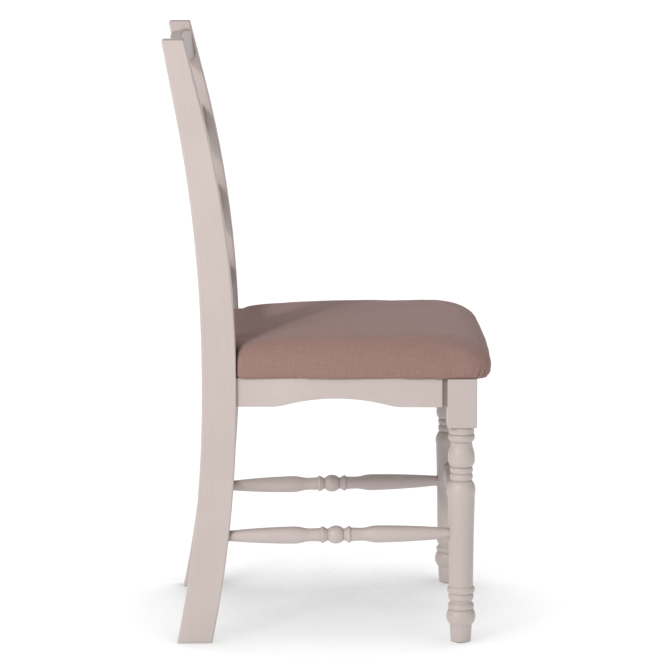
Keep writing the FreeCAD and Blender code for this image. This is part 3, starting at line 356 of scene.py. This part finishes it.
# Seat pad, metres. Each corner of a plan is (x, y, radius), and the plan is mirrored to the left.
# Bulge, edge and the other heights count from the floor of the pad.
seatPad = {
    "widest": [(0.2345, -0.2625, 0.034), (0.2140, 0.1475, 0.007),
               (0.1780, 0.1475, 0.005), (0.1780, 0.1915, 0.006)],
    "drawnIn": [(0.2000, -0.1970, 0.050), (0.1830, 0.1330, 0.010),
                (0.1660, 0.1330, 0.008), (0.1660, 0.1640, 0.014)],
    "tucked": [(0.2270, -0.2540, 0.028), (0.2105, 0.1455, 0.006),
               (0.1780, 0.1455, 0.005), (0.1780, 0.1905, 0.004)],
    "notch": (0.1742, 0.1432), "heart": (0.0, -0.03), "spacing": 0.006,
    "floor": 0.4331, "bulge": 0.022, "edge": 0.0615, "crown": 0.0065, "lean": 0.14, "leanPower": 1.5,
    "flankSteps": 6, "shoulderSteps": 12, "underShares": (0.5, 0.15),
    "topShares": (0.08, 0.2, 0.35, 0.5, 0.65, 0.8, 0.92, 0.999),
    "rearDrop": 0.008, "dropReach": 0.2, "dropPower": 1.2, "frontBow": 0.0016, "bowPower": 3,
    "voxel": 0.007, "swell": 0.003, "pressure": 4.0, "swellFrames": 20, "heldHeight": 0.004,
    "cloth": 0.0012, "hem": 0.14, "hemHeight": 0.0008, "flatHeight": 0.0012,
    "fineHeight": 0.03, "fineSide": 0.01, "fineFront": 0.015,
    "unevenness": 0.0007, "unevenStart": 0.0015, "broadWave": 14, "tallWave": 20, "smallWave": 45,
    "smallShare": 0.4,
    "pleatReach": 0.026, "pleatDepth": 0.0044, "pleatTurns": 17, "pleatField": 0.02, "pleatStart": 0.001,
    "pleatSpread": 0.9, "pleatFade": 1.3, "pleatRamp": 0.003, "pleatTwist": 12, "pleatShift": 0.8,
    "pleatSharpness": 3, "foldHalf": (0.225, 0.22), "foldPower": 7,
    "foamInset": 0.005, "foamGap": 0.0003,
}


def planOutline(corners, counts=None):
    whole = corners + [(-x, y, r) for x, y, r in reversed(corners)]
    places = [Vector((x, y, 0)) for x, y, r in whole]
    arcs = []
    for here, (_, _, radius) in enumerate(whole):
        before = (places[here] - places[here - 1]).normalized()
        after = (places[(here + 1) % len(places)] - places[here]).normalized()
        turn = atan2(before.cross(after).z, before.dot(after))
        reach = radius * tan(abs(turn) / 2)
        side = 1 if turn > 0 else -1
        centre = places[here] - before * reach + Vector((-before.y, before.x, 0)) * radius * side
        arcs.append((centre, places[here] - before * reach - centre, turn))
    if counts is None:
        counts = []
        for here, (centre, arm, turn) in enumerate(arcs):
            nextCentre, nextArm, _ = arcs[(here + 1) % len(arcs)]
            end = centre + Matrix.Rotation(turn, 3, "Z") @ arm
            gap = (nextCentre + nextArm - end).length
            counts.append((max(4, ceil(arm.length * abs(turn) / seatPad["spacing"])),
                           max(2, ceil(gap / seatPad["spacing"]))))
    points = []
    for here, (centre, arm, turn) in enumerate(arcs):
        bends, steps = counts[here]
        for bend in range(bends):
            points.append(centre + Matrix.Rotation(turn * bend / bends, 3, "Z") @ arm)
        end = centre + Matrix.Rotation(turn, 3, "Z") @ arm
        nextCentre, nextArm, _ = arcs[(here + 1) % len(arcs)]
        start = nextCentre + nextArm
        for step in range(steps):
            points.append(end.lerp(start, step / steps))
    return points, counts


def padShape(inset=0.0):
    values = seatPad

    def shrink(corners):
        return [(x - inset, y + inset if y < 0 else y - inset, r) for x, y, r in corners]

    widest, counts = planOutline(shrink(values["widest"]))
    drawn, _ = planOutline(shrink(values["drawnIn"]), counts)
    tucked, _ = planOutline(shrink(values["tucked"]), counts)
    base = values["floor"]
    bulge = base + values["bulge"]
    top = values["floor"] + values["edge"] - inset
    middleY = values["heart"][1]
    heart = Vector((*values["heart"], 0))
    rings = [([p.lerp(heart, share) for p in tucked], base) for share in values["underShares"]]
    rings.append((tucked, base))
    for step in range(1, values["flankSteps"] + 1):
        angle = radians(90 * step / values["flankSteps"])
        share = sin(angle)
        height = bulge - (bulge - base) * cos(angle)
        rings.append(([a.lerp(b, share) for a, b in zip(tucked, widest)], height))
    for step in range(1, values["shoulderSteps"] + 1):
        angle = radians(90 * step / values["shoulderSteps"])
        share = values["lean"] * sin(angle) ** values["leanPower"]
        share += (1 - values["lean"]) * (1 - cos(angle))
        height = bulge + (top - bulge) * sin(angle)
        rings.append(([a.lerp(b, share) for a, b in zip(widest, drawn)], height))
    for share in values["topShares"]:
        rings.append(([p.lerp(heart, share) for p in drawn], top))
    frontX, frontY, _ = values["drawnIn"][0]
    sideX, rearY = values["drawnIn"][1][0], values["drawnIn"][3][1]
    points, faces = [], []
    for ring, height in rings:
        for p in ring:
            lift = max(0, (height - bulge) / (top - bulge))
            back = (p.y - frontY) / (rearY - frontY)
            across = p.x / (frontX + (sideX - frontX) * back)
            crown = values["crown"] * max(0, 1 - across ** 2) * max(0, 1 - (2 * back - 1) ** 2)
            behind = max(0, (p.y - middleY) / values["dropReach"])
            drop = values["rearDrop"] * behind ** values["dropPower"]
            towards = max(0, p.y / frontY) ** values["bowPower"]
            bow = values["frontBow"] * max(0, 1 - (p.x / frontX) ** 2) * towards
            points.append((p.x, p.y - bow, height + (crown - drop) * lift))
    size = len(widest)
    for row in range(len(rings) - 1):
        for column in range(size):
            following = (column + 1) % size
            faces.append((row * size + column, row * size + following,
                          (row + 1) * size + following, (row + 1) * size + column))
    low, high = len(points), len(points) + 1
    points += [(heart.x, heart.y, base), (heart.x, heart.y, points[-1][2])]
    last = (len(rings) - 1) * size
    for column in range(size):
        following = (column + 1) % size
        faces.append((low, following, column))
        faces.append((last + column, last + following, high))
    return meshFrom("padShape", points, faces), tucked


def insidePlan(x, y, outline):
    inside = False
    for here, p in enumerate(outline):
        q = outline[here - 1]
        if (p.y > y) != (q.y > y) and x < (q.x - p.x) * (y - p.y) / (q.y - p.y) + p.x:
            inside = not inside
    return inside


def swellPad(pad):
    held = pad.vertex_groups.new(name="held")
    heldTop = seatPad["floor"] + seatPad["heldHeight"]
    held.add([v.index for v in pad.data.vertices if v.co.z < heldTop], 1.0, "REPLACE")
    start = [v.co.copy() for v in pad.data.vertices]
    cloth = pad.modifiers.new("swell", "CLOTH")
    cloth.settings.use_pressure = True
    cloth.settings.uniform_pressure_force = seatPad["pressure"]
    cloth.settings.effector_weights.gravity = 0.0
    cloth.settings.vertex_group_mass = "held"
    cloth.point_cache.frame_start, cloth.point_cache.frame_end = 1, seatPad["swellFrames"]
    for moment in range(1, seatPad["swellFrames"] + 1):
        scene.frame_set(moment)
    applied(pad)
    limit = seatPad["swell"]
    for v, before in zip(pad.data.vertices, start):
        move = v.co - before
        if move.length > 0:
            v.co = before + move * (limit / (limit + move.length))
    pad.vertex_groups.clear()


def refineCorners(pad):
    values = seatPad
    frontX, frontY, corner = values["widest"][0]
    form = bmesh.new()
    form.from_mesh(pad.data)
    for _ in range(2):
        near = [e for e in form.edges if all(
            v.co.z < values["floor"] + values["fineHeight"]
            and abs(v.co.x) > frontX - corner - values["fineSide"]
            and v.co.y < frontY + corner + values["fineFront"] for v in e.verts)]
        bmesh.ops.subdivide_edges(form, edges=near, cuts=1, use_grid_fill=True)
    form.to_mesh(pad.data)
    form.free()


def dressPad(pad):
    values = seatPad
    floor = values["floor"]
    frontX, frontY, corner = values["widest"][0]
    notchX, notchY = values["notch"]
    broadWave, smallWave = values["broadWave"], values["smallWave"]
    normals = [v.normal.copy() for v in pad.data.vertices]
    for v, normal in zip(pad.data.vertices, normals):
        x, y, z = v.co
        rise = z - floor
        side = 1 if x > 0 else -1
        if rise > values["unevenStart"]:
            broad = noise.noise(Vector((x * broadWave, y * broadWave, z * values["tallWave"])))
            small = noise.noise(Vector((x * smallWave, y * smallWave, z * smallWave)))
            v.co += normal * values["unevenness"] * (broad + values["smallShare"] * small)
        acrossCorner, alongCorner = abs(x) - (frontX - corner), y - (frontY + corner)
        atCorner = acrossCorner > -values["pleatField"] and alongCorner < values["pleatField"]
        if atCorner and values["pleatStart"] < rise < values["pleatReach"]:
            angle = atan2(alongCorner, acrossCorner)
            near = exp(-((angle + pi / 4) / values["pleatSpread"]) ** 2)
            fade = (1 - rise / values["pleatReach"]) ** values["pleatFade"]
            fade *= min(1, rise / values["pleatRamp"])
            turned = (angle + rise * values["pleatTwist"]) * values["pleatTurns"]
            fold = max(0, cos(turned + side * values["pleatShift"])) ** values["pleatSharpness"]
            v.co -= normal * values["pleatDepth"] * near * fade * fold
        x, y, z = v.co
        if rise < values["flatHeight"] or z < floor:
            v.co.z = floor
        if abs(x) > notchX and y > notchY:    # clear of the posts
            if abs(x) - notchX < y - notchY:
                v.co.x = notchX * side
            else:
                v.co.y = notchY


def mapCloth(mesh):
    layer = mesh.uv_layers.new(name="clothMap")
    top = seatPad["floor"] + seatPad["edge"] + seatPad["crown"]
    middleY, power = seatPad["heart"][1], seatPad["foldPower"]
    halfX, halfY = seatPad["foldHalf"]
    for loop in mesh.loops:
        x, y, z = mesh.vertices[loop.vertex_index].co
        outX = (1 if x > 0 else -1) * abs(x / halfX) ** power
        outY = (1 if y > middleY else -1) * abs((y - middleY) / halfY) ** power
        size = sqrt(outX * outX + outY * outY) + 1e-9
        drop = max(0, top - z)
        layer.data[loop.index].uv = (x + outX / size * drop, y + outY / size * drop)


def makeSeatPad():
    mesh, tucked = padShape()
    pad = newPiece("seatPadCover", mesh, seatLinen)
    remesh = pad.modifiers.new("evenCloth", "REMESH")
    remesh.mode, remesh.voxel_size = "VOXEL", seatPad["voxel"]
    applied(pad)
    swellPad(pad)
    finer = pad.modifiers.new("finer", "SUBSURF")
    finer.levels = finer.render_levels = 1
    applied(pad)
    refineCorners(pad)
    dressPad(pad)
    heart = Vector((*seatPad["heart"], 0))
    window = [p.lerp(heart, seatPad["hem"]) for p in tucked]
    form = bmesh.new()
    form.from_mesh(pad.data)
    hemTop = seatPad["floor"] + seatPad["hemHeight"]
    middles = [(f, f.calc_center_median()) for f in form.faces]
    under = [f for f, middle in middles if middle.z < hemTop and insidePlan(middle.x, middle.y, window)]
    bmesh.ops.delete(form, geom=under, context="FACES")
    form.to_mesh(pad.data)
    form.free()
    skin = pad.modifiers.new("cloth", "SOLIDIFY")
    skin.thickness, skin.offset = seatPad["cloth"], -1.0
    applied(pad)
    mapCloth(pad.data)
    pad.data.materials.clear()
    pad.data.materials.append(seatLinen)
    pad.data.shade_smooth()
    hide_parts("seat_cover")
    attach(pad, "root")
    print("seat cover", len(pad.data.polygons), "faces")


def makeFoam():
    mesh, _ = padShape(seatPad["foamInset"])
    form = bmesh.new()
    form.from_mesh(mesh)
    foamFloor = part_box("seat_board")[1].z + seatPad["foamGap"]
    whole = form.verts[:] + form.edges[:] + form.faces[:]
    cut = bmesh.ops.bisect_plane(form, geom=whole, plane_co=(0, 0, foamFloor), plane_no=(0, 0, 1),
                                 clear_inner=True)
    rim = [item for item in cut["geom_cut"] if isinstance(item, bmesh.types.BMEdge)]
    bmesh.ops.holes_fill(form, edges=rim, sides=0)
    bmesh.ops.recalc_face_normals(form, faces=form.faces)
    form.to_mesh(mesh)
    form.free()
    foam = newPiece("seatPadFoam", mesh, seatFoamFinish)
    mesh.shade_smooth()
    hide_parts("seat_foam")
    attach(foam, "root")


makeSeatPad()
makeFoam()

# Dust cover: the cloth under the seat, pulled tight between its staples and sagging a little
dustCover = {
    "front": -0.2045, "frontStep": -0.1855, "rearStep": 0.141, "rear": 0.166,
    "frontHalf": 0.176, "rearHalf": 0.1725, "sideFront": 0.1948, "sideRear": 0.1797,
    "top": 0.4329, "thickness": 0.0005, "spacing": 0.006, "narrowColumn": 0.001,
    "sag": 0.0016, "slackHalf": 0.17, "slackMiddle": -0.02,
    "ripple": 0.0003, "rippleScale": 30, "rippleLevel": 0.3, "rippleFade": 6,
}


def makeDustCover():
    values = dustCover

    def spread(low, high):
        count = max(1, round((high - low) / values["spacing"]))
        return [low + (high - low) * step / count for step in range(count)]

    rows = spread(values["front"], values["frontStep"]) + spread(values["frontStep"], values["rearStep"])
    rows += spread(values["rearStep"], values["rear"]) + [values["rear"]]
    inner = spread(0, values["rearHalf"]) + [values["rearHalf"], values["frontHalf"]]
    columns = inner + [values["frontHalf"] + values["narrowColumn"], None]    # None is the slanted side
    signed = list(range(1 - len(columns), len(columns)))
    slackHalf, rippleScale = values["slackHalf"], values["rippleScale"]
    points, index = [], {}
    for row, y in enumerate(rows):
        share = (y - values["frontStep"]) / (values["rearStep"] - values["frontStep"])
        edge = values["sideFront"] + (values["sideRear"] - values["sideFront"]) * share
        for column in signed:
            x = columns[abs(column)]
            x = edge if x is None else min(x, edge)
            x = -x if column < 0 else x
            slackY = (y - values["slackMiddle"]) / slackHalf
            slack = max(0, 1 - (x / slackHalf) ** 2) * max(0, 1 - slackY ** 2)
            wave = noise.noise(Vector((x * rippleScale, y * rippleScale, values["rippleLevel"])))
            ripple = values["ripple"] * wave * min(1, slack * values["rippleFade"])
            z = values["top"] - values["sag"] * slack - ripple
            index[row, column] = len(points)
            points.append((x, y, min(z, values["top"])))
    faces = []
    outer, frontEdge, rearEdge = len(columns) - 1, len(inner) - 1, len(inner) - 2
    for row in range(len(rows) - 1):
        middle = (rows[row] + rows[row + 1]) / 2
        limit = outer
        if middle < values["frontStep"]:
            limit = frontEdge
        elif middle > values["rearStep"]:
            limit = rearEdge
        for a, b in zip(signed, signed[1:]):
            if max(abs(a), abs(b)) <= limit:
                faces.append((index[row, a], index[row, b], index[row + 1, b], index[row + 1, a]))
    mesh = meshFrom("dustCoverCloth", points, faces)
    form = bmesh.new()
    form.from_mesh(mesh)
    loose = [v for v in form.verts if not v.link_faces]
    bmesh.ops.delete(form, geom=loose, context="VERTS")
    if sum(f.normal.z for f in form.faces) < 0:
        bmesh.ops.reverse_faces(form, faces=form.faces)
    area = sum(f.calc_area() for f in form.faces)
    form.to_mesh(mesh)
    form.free()
    cover = newPiece("dustCoverCloth", mesh, liningFinish)
    skin = cover.modifiers.new("cloth", "SOLIDIFY")
    skin.thickness, skin.offset = values["thickness"], -1.0
    applied(cover)
    cover.data.materials.clear()
    cover.data.materials.append(liningFinish)
    cover.data.shade_smooth()
    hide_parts("dust_cover")
    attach(cover, "root")
    print("dust cover", round(area, 4), "square metres")


makeDustCover()

# Staples of bent wire along the dust cover's edges
staples = {
    "edge": 0.006, "inset": 0.016, "spacing": 0.06, "wander": 0.12, "seed": 4,
    "width": 0.010, "wire": 0.0009, "leg": 0.0072, "bend": 0.0009, "bendSteps": 3, "sides": 6,
    "crownHeight": 0.43225,
}


def stapleForm():
    values = staples
    half, bend, radius = values["width"] / 2 - values["wire"] / 2, values["bend"], values["wire"] / 2
    sides, bendSteps = values["sides"], values["bendSteps"]
    path = [(-half, values["leg"])]
    for centre, start in ((-half + bend, pi), (half - bend, 1.5 * pi)):
        for step in range(bendSteps + 1):
            angle = start + pi / 2 * step / bendSteps
            path.append((centre + bend * cos(angle), bend + bend * sin(angle)))
    path.append((half, values["leg"]))
    points, faces = [], []
    for place, (x, z) in enumerate(path):
        before, after = path[max(0, place - 1)], path[min(len(path) - 1, place + 1)]
        along = Vector((after[0] - before[0], 0, after[1] - before[1])).normalized()
        out = Vector((-along.z, 0, along.x))
        for step in range(sides):
            angle = 2 * pi * step / sides
            points.append(Vector((x, 0, z)) + out * radius * cos(angle)
                          + Vector((0, 1, 0)) * radius * sin(angle))
    for place in range(len(path) - 1):
        here, ahead = place * sides, (place + 1) * sides
        for step in range(sides):
            following = (step + 1) % sides
            faces.append((here + step, here + following, ahead + following, ahead + step))
    faces.append(tuple(range(sides)))
    faces.append(tuple(len(points) - sides + step for step in range(sides)))
    mesh = meshFrom("stapleForm", points, faces)
    return newPiece("stapleForm", mesh, zincFinish)


def stapleTree(form):
    tree = bpy.data.node_groups.new("staplesAlongEdges", "GeometryNodeTree")
    tree.interface.new_socket("Geometry", in_out="INPUT", socket_type="NodeSocketGeometry")
    tree.interface.new_socket("Spacing", in_out="INPUT", socket_type="NodeSocketFloat")
    tree.interface.new_socket("Wander", in_out="INPUT", socket_type="NodeSocketFloat")
    tree.interface.new_socket("Seed", in_out="INPUT", socket_type="NodeSocketInt")
    tree.interface.new_socket("Geometry", in_out="OUTPUT", socket_type="NodeSocketGeometry")
    given = addNode(tree, "NodeGroupInput")
    lines = addNode(tree, "GeometryNodeMeshToCurve", {"Mesh": given.outputs["Geometry"]}).outputs["Curve"]
    spaced = addNode(tree, "GeometryNodeResampleCurve", {
        "Curve": lines, "Length": given.outputs["Spacing"]}, mode="LENGTH")
    along = addNode(tree, "GeometryNodeInputTangent").outputs["Tangent"]
    facing = addNode(tree, "FunctionNodeAlignEulerToVector", {"Vector": along}, axis="X", pivot_axis="Z")
    low = calculate(tree, "MULTIPLY", given.outputs["Wander"], -1.0)
    turned = addNode(tree, "FunctionNodeRandomValue", {2: low, 3: given.outputs["Wander"],
                                                       "Seed": given.outputs["Seed"]}, data_type="FLOAT")
    turn = addNode(tree, "ShaderNodeCombineXYZ", {"Z": turned.outputs[1]}).outputs[0]
    both = addNode(tree, "ShaderNodeVectorMath", {0: facing.outputs[0], 1: turn},
                   operation="ADD").outputs[0]
    staple = addNode(tree, "GeometryNodeObjectInfo", {"Object": form}).outputs["Geometry"]
    placed = addNode(tree, "GeometryNodeInstanceOnPoints", {
        "Points": spaced.outputs["Curve"], "Instance": staple, "Rotation": both}).outputs["Instances"]
    real = addNode(tree, "GeometryNodeRealizeInstances", {"Geometry": placed}).outputs["Geometry"]
    coated = addNode(tree, "GeometryNodeSetMaterial", {
        "Geometry": real, "Material": zincFinish}).outputs["Geometry"]
    addNode(tree, "NodeGroupOutput", {"Geometry": coated})
    return tree


def makeStaples():
    values, cover = staples, dustCover
    z = values["crownHeight"]
    edge, inset = values["edge"], values["inset"]
    points = []
    for half, y in ((cover["frontHalf"], cover["front"] + edge), (cover["rearHalf"], cover["rear"] - edge)):
        points += [(inset - half, y, z), (half - inset, y, z)]
    for side in (-1, 1):
        points += [(side * (cover["sideFront"] - edge), cover["frontStep"] + inset, z),
                   (side * (cover["sideRear"] - edge), cover["rearStep"] - inset, z)]
    edges = [(i, i + 1) for i in range(0, len(points), 2)]
    mesh = bpy.data.meshes.new("dustCoverStaples")
    mesh.from_pydata(points, edges, [])
    piece = newPiece("dustCoverStaples", mesh, zincFinish)
    form = stapleForm()
    rows = piece.modifiers.new("rows", "NODES")
    rows.node_group = stapleTree(form)
    settings = {"Spacing": values["spacing"], "Wander": values["wander"], "Seed": values["seed"]}
    for item in rows.node_group.interface.items_tree:
        if item.in_out == "INPUT" and item.name in settings:
            rows[item.identifier] = settings[item.name]
    applied(piece)
    bpy.data.objects.remove(form)
    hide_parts("staples")
    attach(piece, "root")
    print("staples", len(piece.data.polygons), "faces")


makeStaples()

# Camera at the photograph's place, in metres and degrees
viewpoint = {"place": (-5.617, 0.076, 1.4075), "yaw": -0.845, "pitch": 9.42, "roll": -0.149,
             "focalPixels": 3463.4, "framePixels": 660, "sensor": 36.0, "farthest": 200}


def makeCamera():
    values = viewpoint
    yaw, pitch, roll = (radians(values[name]) for name in ("yaw", "pitch", "roll"))
    forward = Vector((cos(yaw) * cos(pitch), sin(yaw) * cos(pitch), -sin(pitch)))
    right = Vector((sin(yaw), -cos(yaw), 0))
    up = right.cross(forward)
    turnedRight = right * cos(roll) + up * sin(roll)
    turnedUp = up * cos(roll) - right * sin(roll)
    data = bpy.data.cameras.new("photoView")
    data.sensor_width = values["sensor"]
    data.lens = values["focalPixels"] / values["framePixels"] * values["sensor"]
    data.clip_end = values["farthest"]
    camera = bpy.data.objects.new("photoView", data)
    camera.matrix_world = Matrix((
        (turnedRight.x, turnedUp.x, -forward.x, values["place"][0]),
        (turnedRight.y, turnedUp.y, -forward.y, values["place"][1]),
        (turnedRight.z, turnedUp.z, -forward.z, values["place"][2]),
        (0, 0, 0, 1)))
    scene.collection.objects.link(camera)
    scene.camera = camera


# Studio: a key light and a broad fill light from the near side and a little behind, a surround that is
# brighter on that side, and white paper that glows, with a painted shadow in its glow where the chair
# stands over it
studio = {
    "key": {"place": (-3.20, 2.10, 2.35), "size": 0.35, "power": 2.2, "colour": "#FFFAF6"},
    "fill": {"place": (-2.90, 2.65, 2.20), "size": 1.8, "power": 2.8, "colour": "#FFFDFB"},
    "aim": (0.0, 0.38, 0.62), "spread": 40,
    "surround": "#FFFFFF", "brightSide": (-0.62, 0.35, 0.70), "surroundLow": 0.02, "surroundHigh": 0.90,
    "floorHalf": 60.0, "paper": "#808080", "paperRoughness": 0.9, "paperSpecular": 0.1,
    "shadeReach": 0.6, "shadeRange": (0.62, 0.87), "paintedShadowReach": 0.25, "paintedShadowNear": 0.80, "paintedShadowFar": 0.56,
    "glow": "#FFFFFF", "glowNear": 0.90, "glowFar": 0.94, "nearReach": 1.2, "farReach": 5.0,
}


def makeStudio():
    values = studio
    for name in ("key", "fill"):
        lamp = values[name]
        data = bpy.data.lights.new(name + "Light", "AREA")
        data.shape, data.size, data.energy = "DISK", lamp["size"], lamp["power"]
        data.color = linear(lamp["colour"])[:3]
        data.spread = radians(values["spread"])
        light = bpy.data.objects.new(name + "Light", data)
        light.location = lamp["place"]
        aim = Vector(values["aim"]) - light.location
        light.rotation_euler = aim.to_track_quat("-Z", "Y").to_euler()
        scene.collection.objects.link(light)

    world = bpy.data.worlds.new("studioSurround")
    world.use_nodes = True
    world.node_tree.nodes.clear()
    towards = addNode(world.node_tree, "ShaderNodeTexCoord").outputs["Generated"]
    facing = addNode(world.node_tree, "ShaderNodeVectorMath", {0: towards, 1: values["brightSide"]},
                     operation="DOT_PRODUCT").outputs["Value"]
    strength = remap(world.node_tree, facing, (-1.0, 1.0),
                     (values["surroundLow"], values["surroundHigh"]))
    sky = addNode(world.node_tree, "ShaderNodeBackground", {
        "Color": linear(values["surround"]), "Strength": strength})
    addNode(world.node_tree, "ShaderNodeOutputWorld", {"Surface": sky.outputs[0]})
    scene.world = world

    half = values["floorHalf"]
    corners = [(-half, -half, 0), (half, -half, 0), (half, half, 0), (-half, half, 0)]
    mesh = meshFrom("studioFloor", corners, [(0, 1, 2, 3)])
    material, tree = newMaterial("whiteStudioPaper")
    # painted shadow: ambient occlusion dims the paper's glow under the chair, and the dimming is stronger
    # towards the far side
    shade = addNode(tree, "ShaderNodeAmbientOcclusion", {"Distance": values["shadeReach"]}).outputs["AO"]
    place = objectPlace(tree)
    across = addNode(tree, "ShaderNodeSeparateXYZ", {"Vector": place}).outputs["X"]
    reach = values["paintedShadowReach"]
    least = remap(tree, across, (-reach, reach), (values["paintedShadowNear"], values["paintedShadowFar"]))
    cover = remap(tree, shade, values["shadeRange"], (least, 1.0))
    away = addNode(tree, "ShaderNodeVectorMath", {0: place}, operation="LENGTH").outputs["Value"]
    spread = remap(tree, away, (values["nearReach"], values["farReach"]),
                   (values["glowNear"], values["glowFar"]))
    glow = calculate(tree, "MULTIPLY", cover, spread)
    finishMaterial(tree, {
        "Base Color": linear(values["paper"]), "Roughness": values["paperRoughness"],
        "Specular IOR Level": values["paperSpecular"], "Emission Color": linear(values["glow"]),
        "Emission Strength": glow})
    floor = newPiece("studioFloor", mesh, material)
    scene.view_settings.view_transform = "Standard"


makeCamera()
makeStudio()
print("camera and lights ready")
